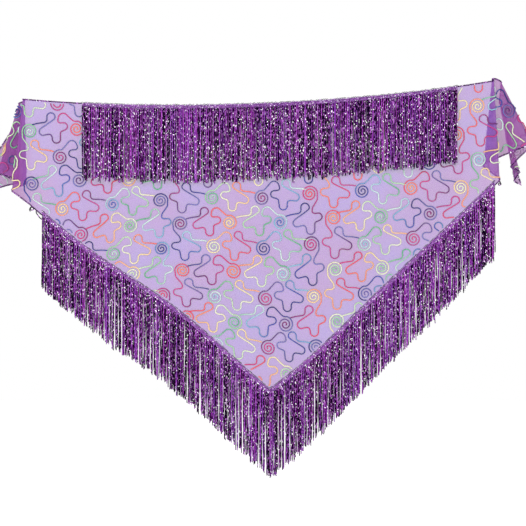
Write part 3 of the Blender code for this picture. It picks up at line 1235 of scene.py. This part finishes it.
def smooth_through(nodes: Array, fine: int = 8) -> Array:
    """A smooth line through nodes, by centripetal Catmull-Rom spans.

    Args:
        nodes: The nodes, one a row.
        fine: Points for each span.

    Returns:
        The line's points.
    """
    ends = (2 * nodes[:1] - nodes[1:2], nodes, 2 * nodes[-1:] - nodes[-2:-1])
    p = np.concatenate(ends)
    knots = np.concatenate(((0,), np.cumsum(np.linalg.norm(np.diff(p, axis=0), axis=1) ** 0.5)))
    spans = []
    for i in range(1, len(p) - 2):
        t0, t1, t2, t3 = knots[i - 1 : i + 3]
        t = np.linspace(t1, t2, fine, endpoint=False)[:, None]
        a1 = (t1 - t) / (t1 - t0) * p[i - 1] + (t - t0) / (t1 - t0) * p[i]
        a2 = (t2 - t) / (t2 - t1) * p[i] + (t - t1) / (t2 - t1) * p[i + 1]
        a3 = (t3 - t) / (t3 - t2) * p[i + 1] + (t - t2) / (t3 - t2) * p[i + 2]
        b1 = (t2 - t) / (t2 - t0) * a1 + (t - t0) / (t2 - t0) * a2
        b2 = (t3 - t) / (t3 - t1) * a2 + (t - t1) / (t3 - t1) * a3
        spans.append((t2 - t) / (t2 - t1) * b1 + (t - t1) / (t2 - t1) * b2)
    return np.concatenate((*spans, nodes[-1:]))


def resampled(line: Array, step: float) -> Array:
    """A line's points moved to be evenly spaced.

    Args:
        line: The line, one point a row.
        step: About how far apart the new points are.

    Returns:
        The new points.
    """
    run = arc_length(line)
    even = np.linspace(0, run[-1], max(2, math.ceil(run[-1] / step) + 1))
    return np.stack([np.interp(even, run, line[:, axis]) for axis in range(line.shape[1])], axis=1)


@dataclass(frozen=True)
class Embroidery:
    """Rows of the motif over the whole net, each row the mirror image of the one above.

    The net is worked in upright blocks of block_places repeats. At a block's side each row turns
    and runs on into the next one, so no thread crosses from block to block.
    The rows climb by row_tilt for each metre to the right. They also rise by row_bow in the middle,
    and by bow_gain more for each metre further down, which is how straight rows lie on the sagging
    cloth.
    """

    cloth: HungCloth
    heading_spans: Mapping[Edge, tuple[float, float]]
    motif: Motif = Motif()
    block_places: int = 3
    place_step: float = 0.131
    row_step: float = 0.0698
    first_along: float = 0.744
    first_down: float = 0.350
    mirrored_shift: float = -0.351
    row_tilt: float = 0.0163
    row_bow: float = 0.043
    bow_gain: float = 0.070
    step: float = 0.0027
    radius: float = 0.00160
    sides: int = 5
    bobbin_radius: float = 0.0006
    bobbin_sides: int = 3
    bobbin_every: int = 2
    edge_margin: float = 0.0045
    heading_margin: float = 0.0142
    shortest: float = 0.010
    size_play: float = 0.035
    turn_play: float = math.radians(4)
    seed: int = 7

    def row_lines(self, row: int, chance: np.random.Generator) -> list[tuple[Array, float]]:
        """The motif's lines along one row, each with the run at which its dye starts.

        Args:
            row: The row's number, 0 for the row through (first_along, first_down).
            chance: Where the small differences between repeats come from.

        Returns:
            Flat lines and the run at the start of each.
        """
        mirrored = row % 2 == 1
        scale = self.place_step / self.motif.pitch
        onward = self.motif.line(self.step, turns=False) * scale
        turning = self.motif.line(self.step, turns=True) * scale
        length = arc_length(onward)[-1]
        first = self.first_along + (self.mirrored_shift * self.place_step if mirrored else 0.0)
        lowest = -math.ceil(first / self.place_step) - 1
        highest = math.ceil((self.cloth.width - first) / self.place_step) + 1
        middle = np.array((self.place_step / 2, 0.0))
        lines = []
        for place in range(lowest, highest + 1):
            turn = chance.uniform(-self.turn_play, self.turn_play)
            size = 1 + chance.uniform(-self.size_play, self.size_play)
            cos, sin = math.cos(turn) * size, math.sin(turn) * size
            line = turning if self.turns_at(place, mirrored) else onward
            drawn = (line - middle) @ np.array(((cos, sin), (-sin, cos))) + middle
            along = first + place * self.place_step + (-1 if mirrored else 1) * drawn[:, 0]
            down = self.row_depth(row, along) - drawn[:, 1]
            lines.append((np.stack((along, down), axis=1), place * length))
        return lines

    def turns_at(self, place: int, mirrored: bool) -> bool:
        """Whether the repeat that starts at a place would cross a block's side."""
        return (place - 1 if mirrored else place + 1) % self.block_places == 0

    def row_depth(self, row: int, along: Array) -> Array:
        """Flat depth of a row's spirals.

        Args:
            row: The row's number.
            along: Distances along the long edge.

        Returns:
            One depth for each distance.
        """
        from_middle = along - self.cloth.width / 2
        below_first = row * self.row_step
        bow = self.row_bow + self.bow_gain * below_first
        half_span = self.cloth.grip_span / 2
        depth = self.first_down + below_first - self.row_tilt * from_middle
        return depth - bow * (1 - (from_middle / half_span) ** 2)

    def kept(self, flat: Array) -> Array:
        """Which flat points lie on the net, clear of its hem and of the headings.

        Args:
            flat: Flat points, one a row.

        Returns:
            One truth for each point.
        """
        along, down = flat[:, 0], flat[:, 1]
        upper, lower = (np.full(len(flat), self.edge_margin) for _ in range(2))
        for edge, (start, end) in self.heading_spans.items():
            margin = upper if edge is Edge.LONG else lower
            margin[(along > start) & (along < end)] = self.heading_margin
        hem = self.cloth.hem_depth(along) - lower * math.hypot(1, self.cloth.hem_slope)
        return (down > upper) & (down < hem)

    def build(
        self,
        sweeper: SweptThreads,
        finish: bpy.types.Material,
        bobbin_finish: bpy.types.Material,
    ) -> list[bpy.types.Object]:
        """Makes the embroidery in a left and a right piece, and the bobbin thread on its back.

        Args:
            sweeper: The tree that sweeps threads.
            finish: The material of the thread on the face.
            bobbin_finish: The material of the thread on the back.

        Returns:
            The three pieces.
        """
        chance = np.random.default_rng(self.seed)
        halves = {"embroidery_left": ThreadSet(), "embroidery_right": ThreadSet()}
        bobbin = ThreadSet()
        highest = math.ceil(self.first_down / self.row_step)
        lowest = math.ceil((self.cloth.depth - self.first_down) / self.row_step)
        out = self.cloth.wall / 2 + self.radius
        behind = self.cloth.wall / 2 + self.bobbin_radius
        for row in range(-highest, lowest + 1):
            mark = chance.uniform()
            for flat, start in self.row_lines(row, chance):
                run = start + arc_length(flat)
                for stretch in stretches(self.kept(flat)):
                    if run[stretch][-1] - run[stretch][0] < self.shortest:
                        continue
                    along, down = flat[stretch].T
                    half = "left" if along.mean() < self.cloth.width / 2 else "right"
                    hung = self.cloth.moved_out(along, down, out)
                    halves["embroidery_" + half].add(hung, run[stretch], mark)
                    every = slice(None, None, self.bobbin_every)
                    hung = self.cloth.moved_out(along[every], down[every], -behind)
                    bobbin.add(hung, run[stretch][every], mark)
        pieces = [
            sweeper.sweep(name, threads, self.radius, self.sides, finish)
            for name, threads in halves.items()
        ]
        back = (bobbin, self.bobbin_radius, self.bobbin_sides, bobbin_finish)
        pieces.append(sweeper.sweep("bobbin_thread", *back))
        return [settle(piece) for piece in pieces]


def stretches(kept: Array) -> list[slice]:
    """The unbroken stretches of a list of truths.

    Args:
        kept: One truth for each place.

    Returns:
        A slice for each stretch of two or more places.
    """
    padded = np.concatenate(((False,), kept, (False,))).astype(int)
    change = np.flatnonzero(np.diff(padded))
    return [slice(a, b) for a, b in zip(change[::2], change[1::2]) if b - a > 1]


# ---------------------------------------------------------------------------------------------
# Hem, headings and fringes
# ---------------------------------------------------------------------------------------------


@dataclass(frozen=True)
class LooseEnd:
    """A loose end of the hem's thread, drawn as flat millimetres from its place on the hem."""

    along: float
    drawn: tuple[tuple[float, float], ...]

    def line(self, cloth: HungCloth, step: float = 0.001, walls_out: float = 3.0) -> Array:
        """The thread's centre line, a little before the cloth's face.

        Args:
            cloth: The cloth that it hangs on.
            step: Distance between its points.
            walls_out: How far out its tip stands, in thicknesses of the cloth's wall.

        Returns:
            One point a row.
        """
        flat = smooth_through(np.array(self.drawn) * MILLIMETRE)
        flat = resampled(flat, step) + (self.along, cloth.hem_depth(self.along))
        out = np.linspace(cloth.wall, walls_out * cloth.wall, len(flat))
        return cloth.moved_out(flat[:, 0], flat[:, 1], out)


@dataclass(frozen=True)
class RolledHem:
    """A rolled hem all round the net, overlocked with a wrapping thread where it is bare."""

    cloth: HungCloth
    heading_spans: Mapping[Edge, tuple[float, float]]
    radius: float = 0.0014
    sides: int = 6
    mark: float = 0.5
    wrap_radius: float = 0.00065
    wrap_sides: int = 4
    wrap_mark: float = 0.3
    wrap_pitch: float = 0.0040
    wrap_turn_points: int = 7
    step: float = 0.004
    inset: float = 0.0008
    corner: float = 0.012
    loose_girth: float = 0.6
    loose_ends: tuple[LooseEnd, ...] = (
        LooseEnd(0.3560, ((0, 0), (-3, 5), (-1, 10), (5, 8), (4, 3), (-2, 4), (-5, 9), (-3, 14))),
        LooseEnd(0.3680, ((0, 0), (0, 6), (4, 12), (9, 18), (14, 21), (17, 17))),
        LooseEnd(1.5850, ((0, 0), (3, 5), (2, 10), (-3, 11), (-4, 7), (0, 5), (4, 9))),
    )

    def edge_lines(self) -> list[tuple[Edge, Array]]:
        """The long edge as one flat line, and each half of the lower edge as another.

        Returns:
            Each edge with its line, one flat point a row.
        """
        middle = self.cloth.width / 2
        spans = (
            (Edge.LONG, self.corner, self.cloth.width - self.corner),
            (Edge.LEFT, self.corner, middle),
            (Edge.RIGHT, middle, self.cloth.width - self.corner),
        )
        lines = []
        for edge, start, end in spans:
            along = np.linspace(start, end, math.ceil((end - start) / self.step) + 1)
            inset = np.full(len(along), self.inset)
            down = inset if edge is Edge.LONG else self.cloth.hem_depth(along) - inset
            lines.append((edge, np.stack((along, down), axis=1)))
        return lines

    def wrap(self, flat: Array) -> Array:
        """A thread wound round a flat line of the hem.

        Args:
            flat: The line, one flat point a row.

        Returns:
            The winding thread's centre line.
        """
        length = arc_length(flat)[-1]
        line = resampled(flat, self.wrap_pitch / self.wrap_turn_points)
        along, down = line.T
        hung = self.cloth.hang(along, down)
        normal = self.cloth.normals(along, down)
        tangent = np.gradient(hung, axis=0)
        tangent = tangent / np.linalg.norm(tangent, axis=1, keepdims=True)
        side = np.cross(tangent, normal)
        angle = np.linspace(0, math.tau * length / self.wrap_pitch, len(line))[:, None]
        reach = self.radius + self.wrap_radius
        return hung + reach * (normal * np.cos(angle) + side * np.sin(angle))

    def build(
        self, sweeper: SweptThreads, finish: bpy.types.Material, wrap_finish: bpy.types.Material
    ) -> list[bpy.types.Object]:
        """Makes the hem's core and its wrapping.

        Args:
            sweeper: The tree that sweeps threads.
            finish: The core's material.
            wrap_finish: The wrapping thread's material.

        Returns:
            The two pieces.
        """
        core, wrapping = ThreadSet(), ThreadSet()
        for edge, flat in self.edge_lines():
            run = arc_length(flat)
            core.add(self.cloth.hang(*flat.T), run, self.mark)
            start, end = self.heading_spans[edge]
            bare = (flat[:, 0] < start) | (flat[:, 0] > end)
            for stretch in stretches(bare):
                wound = self.wrap(flat[stretch])
                wrapping.add(wound, arc_length(wound), self.wrap_mark)
        for loose_end in self.loose_ends:
            line = loose_end.line(self.cloth)
            core.add(line, arc_length(line), self.mark, self.loose_girth)
        wraps = (wrapping, self.wrap_radius, self.wrap_sides, wrap_finish)
        pieces = [
            sweeper.sweep("rolled_hem", core, self.radius, self.sides, finish),
            sweeper.sweep("hem_overlock", *wraps),
        ]
        return [settle(piece) for piece in pieces]


@dataclass(frozen=True)
class Fringe:
    """One fringe: a plaited heading sewn on the face, and foil threads that hang from it.

    The threads of a strand are drawn together by the share strand_pull. They leave the heading
    evenly spaced, and lie in their strands and layers from 1 / gather_rate of their length on.
    Neighbouring strands are drawn together by the share clump_pull at their tips. Waves are in
    radians for each metre of fall. Lengths differ from clump to clump by a share of about uneven.
    A single thread may be as short as the share shortest, and a length_power below 1 keeps most
    threads near full length.
    """

    cloth: HungCloth
    edge: Edge
    start: float
    end: float
    replaced: str
    seed: int
    full_start: float
    length: float = 0.200
    growth_to_point: float = 0.15
    heading_depth: float = 0.009
    threads_per_metre: float = 1080.0
    thread_radius: float = 0.00122
    thinnest: float = 0.8
    thickest: float = 1.2
    thread_sides: int = 5
    thread_steps: int = 12
    layers: int = 3
    layer_step: float = 0.0014
    root_share: float = 0.85
    root_out: float = 0.0016
    root_jitter: float = 0.0005
    first_bend: float = 0.024
    strand_threads: int = 3
    strand_pull: float = 0.45
    strand_pull_on_cloth: float = 0.30
    strand_lean: float = 0.0009
    strand_swing: float = 0.34
    least_swing: float = 0.3
    gather_rate: float = 6.0
    own_lean: float = 0.0005
    slow_wave: float = 26.0
    quick_wave: float = 90.0
    wave_aside: float = 0.0006
    wave_out: float = 0.0008
    middle_mark: float = 0.5
    # How much lighter each layer further out is, so the layers behind carry painted shade.
    layer_painted_shade: float = 0.12
    own_mark: float = 0.16
    clump_pitch: float = 0.0085
    clump_pull: float = 0.20
    stray_share: float = 0.07
    stray_lean: float = 0.0045
    clearance: float = 0.0055
    shortest: float = 0.90
    length_power: float = 0.6
    uneven: float = 0.018
    plait_strands: int = 3
    plait_share: float = 0.72
    plait_half_width: float = 0.24
    plait_bulge: float = 0.0008
    plait_radius: float = 0.00090
    plait_sides: int = 5
    plait_period: float = 0.0090
    plait_points: int = 14
    first_plait_mark: float = 0.21
    plait_mark_step: float = 0.3
    band_out: float = 0.0011
    band_radius: float = 0.00090
    band_sides: int = 4
    band_count: int = 7
    band_step: float = 0.006
    band_margin: float = 0.05
    band_marks: tuple[float, float] = (0.80, 0.10)
    band_mark_step: float = 0.02
    picot_pitch: float = 0.0046
    picot_height: float = 0.0030
    picot_radius: float = 0.0006
    picot_points: int = 6
    picot_sides: int = 4

    @property
    def on_cloth(self) -> bool:
        """Whether the threads hang over the net."""
        return self.edge is Edge.LONG

    @property
    def place(self) -> str:
        """The fringe's place, as its pieces' names say it."""
        return self.edge.value + "_edge"

    def depth_at(self, along: Array, share: Array | float) -> Array:
        """Flat depth within the heading.

        Args:
            along: Distances along the long edge.
            share: Shares of the way from the heading's upper side to its lower side.

        Returns:
            One depth for each distance.
        """
        if self.on_cloth:
            return self.heading_depth * share + 0 * along
        upright = self.heading_depth * math.hypot(1, self.cloth.hem_slope)
        return self.cloth.hem_depth(along) - upright * (1 - share)

    def length_at(self, along: Array) -> Array:
        """How far the threads hang.

        Args:
            along: Distances along the long edge.

        Returns:
            For each distance, the drop from the heading's upper side.
        """
        if self.on_cloth:
            return self.length + 0 * along
        middle = self.cloth.width / 2
        closeness = 1 - np.abs(along - middle) / (middle - self.full_start)
        return self.length * (1 + self.growth_to_point * closeness)

    def hanging_lines(self, chance: np.random.Generator) -> tuple[Array, Array, Array]:
        """Centre lines of the hanging threads.

        Args:
            chance: Where the threads' small differences come from.

        Returns:
            Lines as threads by points by axes, each thread's length, and its mark.
        """
        count = round((self.end - self.start) * self.threads_per_metre)
        along = self.start + (self.end - self.start) * (np.arange(count) + 0.5) / count
        along = np.clip(along + chance.normal(0, self.root_jitter, count), self.start, self.end)
        layer = chance.integers(0, self.layers, count)
        strand = np.arange(count) // self.strand_threads
        strands = strand[-1] + 1
        root = self.cloth.moved_out(along, self.depth_at(along, self.root_share), self.root_out)
        lock = np.round(root[:, 0] / self.clump_pitch).astype(int)
        uneven = chance.normal(0, self.uneven, np.ptp(lock) + 1)[lock - lock.min()]
        length = self.length_at(along) - self.heading_depth * self.root_share
        length = length * (1 + uneven - (1 - self.shortest) * chance.power(self.length_power, count))
        share = np.linspace(0, 1, self.thread_steps + 1)
        if self.on_cloth:
            share = np.insert(share, 1, self.first_bend)
        fall = length[:, None] * share
        stray = chance.uniform(size=count) < self.stray_share
        lean = chance.normal(0, self.strand_lean, strands)[strand]
        lean = lean + chance.normal(0, np.where(stray, self.stray_lean, self.own_lean))
        phase = chance.uniform(0, math.tau, (2, strands, 1))[:, strand]
        waves = chance.uniform(self.slow_wave, self.quick_wave, (2, strands, 1))[:, strand]
        sway = np.sin(waves[0] * fall + phase[0]) - np.sin(phase[0])
        clump = np.round(root[:, :1] / self.clump_pitch) * self.clump_pitch - root[:, :1]
        middle = np.bincount(strand, root[:, 0]) / np.bincount(strand)
        pull = self.strand_pull_on_cloth if self.on_cloth else self.strand_pull
        settled = np.minimum(1, share * self.gather_rate)
        gather = pull * (middle[strand] - root[:, 0])[:, None] * settled
        x = root[:, :1] + lean[:, None] * share + gather
        x = x + self.wave_aside * sway * share + clump * self.clump_pull * share
        z = root[:, 2:] - fall
        out = -root[:, 1:2] + layer[:, None] * self.layer_step * settled
        out = out + self.wave_out * np.sin(waves[1] * fall + phase[1]) * share
        if self.on_cloth:
            out = np.maximum(out, self.pushed_out(x, z) + layer[:, None] * self.layer_step)
        side = np.where(np.arange(strands) % 2, 1, -1)
        swing = chance.uniform(self.least_swing, 1.0, strands) * side
        # Painted shade: layers further back get lower marks and so darker tones, as if shaded by the
        # threads in front.
        mark = self.middle_mark + swing[strand] * self.strand_swing + self.layer_painted_shade * (layer - 1)
        mark = mark + self.own_mark * chance.uniform(-0.5, 0.5, count)
        return np.stack((x, -out, z), axis=2), length, mark

    def pushed_out(self, x: Array, z: Array) -> Array:
        """How far forward the net holds threads that hang over it.

        Args:
            x: Each thread's points' distances from the left grip, threads by points.
            z: Their heights.

        Returns:
            How far out each point must stand at least.
        """
        along, down = self.cloth.flat_of(x.ravel(), z.ravel())
        front = -self.cloth.hang(along, down)[:, 1].reshape(x.shape) + self.clearance
        front[:, 0] = -np.inf
        return np.maximum.accumulate(front, axis=1)

    def heading_threads(self) -> ThreadSet:
        """The plait along the heading's lower half.

        Returns:
            Its strands.
        """
        threads = ThreadSet()
        periods = (self.end - self.start) / self.plait_period
        along = np.linspace(self.start, self.end, math.ceil(periods * self.plait_points))
        turn = math.tau * (along - self.start) / self.plait_period
        for strand in range(self.plait_strands):
            angle = turn + math.tau * strand / self.plait_strands
            share = self.plait_share + self.plait_half_width * np.sin(angle)
            bulge = self.plait_bulge * (1 + np.sin(2 * angle))
            out = self.band_out + self.plait_radius + bulge
            line = self.cloth.moved_out(along, self.depth_at(along, share), out)
            mark = self.first_plait_mark + self.plait_mark_step * strand
            threads.add(line, arc_length(line), mark)
        return threads

    def band_line(self, share: float) -> Array:
        """A line along the heading's band, at a share of the way down it.

        Args:
            share: 0 at the heading's upper side and 1 at its lower side.

        Returns:
            One point a row.
        """
        points = math.ceil((self.end - self.start) / self.band_step)
        along = np.linspace(self.start, self.end, points)
        return self.cloth.moved_out(along, self.depth_at(along, share), self.band_out)

    def band_threads(self) -> ThreadSet:
        """The heading's band: straight threads side by side, a light and a dark one in turn.

        Returns:
            The threads.
        """
        threads = ThreadSet()
        shares = np.linspace(self.band_margin, 1 - self.band_margin, self.band_count)
        for place, share in enumerate(shares):
            line = self.band_line(share)
            mark = self.band_mark_step * place + self.band_marks[place % 2]
            threads.add(line, arc_length(line), mark)
        return threads

    def picots(self, row: PicotRow, finish: bpy.types.Material) -> bpy.types.Object:
        """The row of small loops that stands along the heading's upper side.

        Args:
            row: The tree that makes it.
            finish: The loops' material.

        Returns:
            The piece.
        """
        line = self.band_line(self.band_margin)
        foot = ThreadSet()
        foot.add(line, arc_length(line), self.middle_mark)
        name = "picots_" + self.place
        values = {
            "Pitch": self.picot_pitch,
            "Height": self.picot_height,
            "Radius": self.picot_radius,
            "Loop Points": self.picot_points,
            "Sides": self.picot_sides,
            "Seed": self.seed,
            "Finish": finish,
        }
        return realized(name, foot.mesh(name + "_line"), row.tree, values)

    def build(
        self,
        sweeper: SweptThreads,
        picot_row: PicotRow,
        finish: bpy.types.Material,
        plait_finish: bpy.types.Material,
    ) -> list[bpy.types.Object]:
        """Makes the heading and the hanging threads.

        Args:
            sweeper: The tree that sweeps threads.
            picot_row: The tree that makes the loops.
            finish: The hanging threads' material.
            plait_finish: The plait's material.

        Returns:
            The pieces.
        """
        chance = np.random.default_rng(self.seed)
        hanging = ThreadSet()
        for line, length, mark in zip(*self.hanging_lines(chance)):
            run = np.linspace(0, length, len(line))
            hanging.add(line, run, mark, chance.uniform(self.thinnest, self.thickest))
        swept = {
            "threads_": (hanging, self.thread_radius, self.thread_sides, finish),
            "band_": (self.band_threads(), self.band_radius, self.band_sides, plait_finish),
            "plait_": (self.heading_threads(), self.plait_radius, self.plait_sides, plait_finish),
        }
        threads, band, plait = (
            sweeper.sweep(kind + self.place, *way) for kind, way in swept.items()
        )
        return [
            settle(threads, (self.replaced,)),
            settle(band),
            settle(plait),
            settle(self.picots(picot_row, finish)),
        ]


# ---------------------------------------------------------------------------------------------
# The studio
# ---------------------------------------------------------------------------------------------


@dataclass(frozen=True)
class SoftLight:
    """A square soft light: where it stands, its side, and its power in watts."""

    name: str
    place: Place
    side: float
    power: float

    def build(self, target: Place) -> None:
        """Adds the light.

        Args:
            target: Where it points.
        """
        data = bpy.data.lights.new(self.name, "AREA")
        data.size = self.side
        data.energy = self.power
        light = linked(self.name, data)
        light.location = self.place
        aim = Vector(target) - Vector(self.place)
        light.rotation_euler = aim.to_track_quat("-Z", "Y").to_euler()


@dataclass(frozen=True)
class Studio:
    """A pale floor, a white surround, soft lights and the camera."""

    camera_place: Place = (0.6188, -3.23, -0.4264)
    lens: float = 85.0
    sensor: float = 36.0
    floor_drop: float = 2.30
    floor_radius: float = 14.0
    floor_corners: int = 64
    seen_white: float = 1.0
    lighting_white: float = 0.46
    target: Place = (0.62, 0.0, -0.40)
    lights: tuple[SoftLight, ...] = (
        SoftLight("key", (-1.3, -3.4, 1.7), side=1.3, power=88.0),
        SoftLight("fill", (2.9, -2.8, 0.6), side=1.8, power=30.0),
        SoftLight("back", (0.6, 3.0, 1.2), side=2.2, power=48.0),
    )

    def build(self) -> None:
        """Makes the studio."""
        self.build_world()
        self.build_floor()
        for light in self.lights:
            light.build(self.target)
        self.build_camera()

    def build_world(self) -> None:
        """A white that is seen, and a softer white that lights."""
        world = bpy.data.worlds.new("studio_white")
        world.use_nodes = True
        bpy.context.scene.world = world
        book = NodeBook(world.node_tree)
        seen = book.add("ShaderNodeLightPath").outputs["Is Camera Ray"]
        background = world.node_tree.nodes["Background"]
        background.inputs["Color"].default_value = rgba(WHITE)
        strength = book.spread(seen, self.lighting_white, self.seen_white)
        world.node_tree.links.new(strength, background.inputs["Strength"])
        bpy.context.scene.view_settings.view_transform = "Standard"

    def build_floor(self) -> None:
        """A round floor far below the scarf."""
        turns = np.linspace(0, math.tau, self.floor_corners, endpoint=False)
        rim = [
            (
                self.target[0] + self.floor_radius * math.cos(turn),
                self.floor_radius * math.sin(turn),
                -self.floor_drop,
            )
            for turn in turns
        ]
        mesh = bpy.data.meshes.new("studio_floor")
        mesh.from_pydata(rim, [], [tuple(range(len(rim)))])
        mesh.materials.append(StageFinish().build())
        floor = linked("studio_floor", mesh)

    def build_camera(self) -> None:
        """A level camera square in front of the scarf."""
        data = bpy.data.cameras.new("camera")
        data.lens = self.lens
        data.sensor_width = self.sensor
        camera = linked("camera", data)
        camera.location = self.camera_place
        camera.rotation_euler = (math.pi / 2, 0.0, 0.0)
        bpy.context.scene.camera = camera


# ---------------------------------------------------------------------------------------------
# The scarf
# ---------------------------------------------------------------------------------------------


def main() -> None:
    """Builds the scarf piece by piece, and the studio round it."""
    logging.basicConfig(level=logging.INFO, format="%(name)s %(message)s")
    LOG.info("dressing %s", ", ".join(sorted(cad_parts)))
    cloth = HungCloth()
    effects = SharedEffects()
    sweeper = SweptThreads()
    picot_row = PicotRow()
    foil = FoilThreadFinish("foil_fringe_thread").build(effects)
    plait = FoilThreadFinish(
        "foil_plait_thread",
        dark=(0.050, 0.008, 0.090),
        light=(0.420, 0.140, 0.500),
        cool_light=(0.340, 0.170, 0.560),
        # The plait thread gets more and longer painted glints.
        painted_glint_share=0.07,
        painted_glint_length=0.0026,
        drift_contrast=2.0,
        lowest_tone=-1.50,
    ).build(effects)
    # The hem thread is dark, with fewer painted glints and less metal.
    hem = FoilThreadFinish(
        "hem_thread", light=(0.11, 0.02, 0.17), painted_glint_share=0.05, metallic=0.1
    ).build(effects)
    net = NetSheet(cloth).build(NetFinish().build(effects))
    dyed = EmbroideryFinish("space_dyed_thread").build(effects)
    bobbin = EmbroideryFinish("bobbin_thread", pitch=0.0012, colors=BOBBIN_COLORS).build(effects)
    sewn = Embroidery(cloth, HEADING_SPANS).build(sweeper, dyed, bobbin)
    sewn += RolledHem(cloth, HEADING_SPANS).build(sweeper, hem, plait)
    for edge, (start, end) in HEADING_SPANS.items():
        fringe = Fringe(
            cloth,
            edge,
            start,
            end,
            replaced=f"fringe_{edge.value}_edge",
            seed=FRINGE_SEEDS[edge],
            full_start=HEADING_SPANS[Edge.LEFT][0],
        )
        sewn += fringe.build(sweeper, picot_row, foil, plait)
    Studio().build()


if __name__ == "__main__":
    main()
